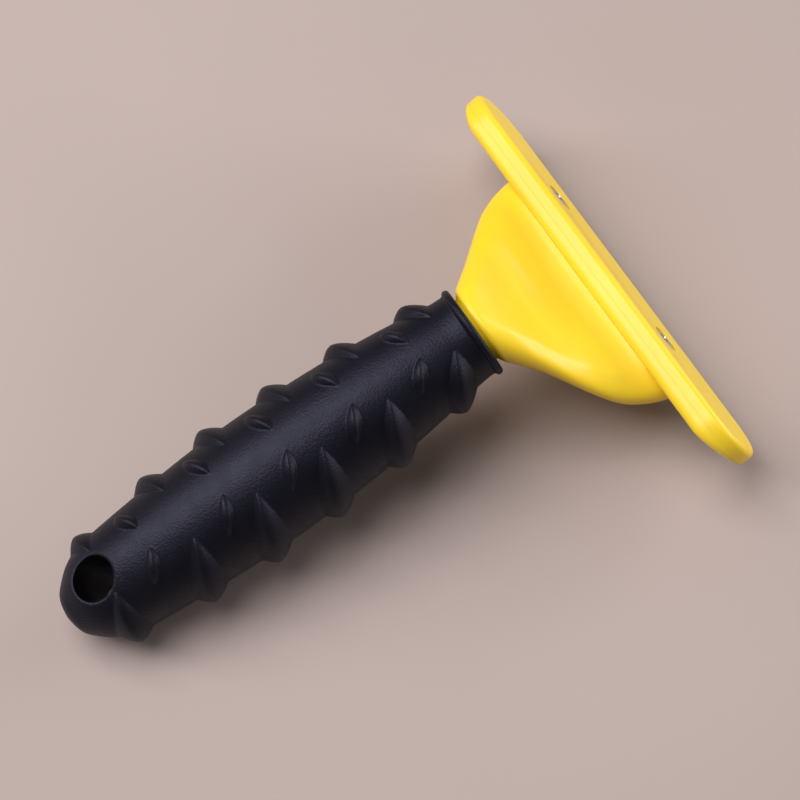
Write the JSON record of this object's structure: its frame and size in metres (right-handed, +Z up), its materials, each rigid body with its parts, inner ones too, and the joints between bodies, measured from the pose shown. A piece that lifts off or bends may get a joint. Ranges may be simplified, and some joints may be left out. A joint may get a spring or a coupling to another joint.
{
  "type": "pet de-shedding comb",
  "caption": "T-shaped hand comb for pets: ribbed rubber grip with a hang hole, scooped yellow neck and a wide clamped plate that holds a fine-toothed steel comb.",
  "frame": {"origin": "middle of the bounding box's bottom, on the ground that the tool lies on", "axes": "+X horizontal from the grip's hang-hole end to the head, +Y to the left of the handle, +Z up; the handle's own axis rises 11.1 degrees towards the head"},
  "size_m": [0.1654, 0.1194, 0.046],
  "materials": {
    "black_rubber": "matte, fine moulded grain",
    "yellow_plastic": "satin to glossy injection moulding",
    "comb_steel": "ground stainless sheet",
    "screw_zinc": "zinc-plated"
  },
  "bodies": {
    "root": {"grip_sleeve": "black_rubber", "head_body": "yellow_plastic", "face_plate": "yellow_plastic", "comb_blade": "comb_steel", "clamp_screw_left": "screw_zinc", "clamp_screw_right": "screw_zinc"}
  },
  "joints": []
}
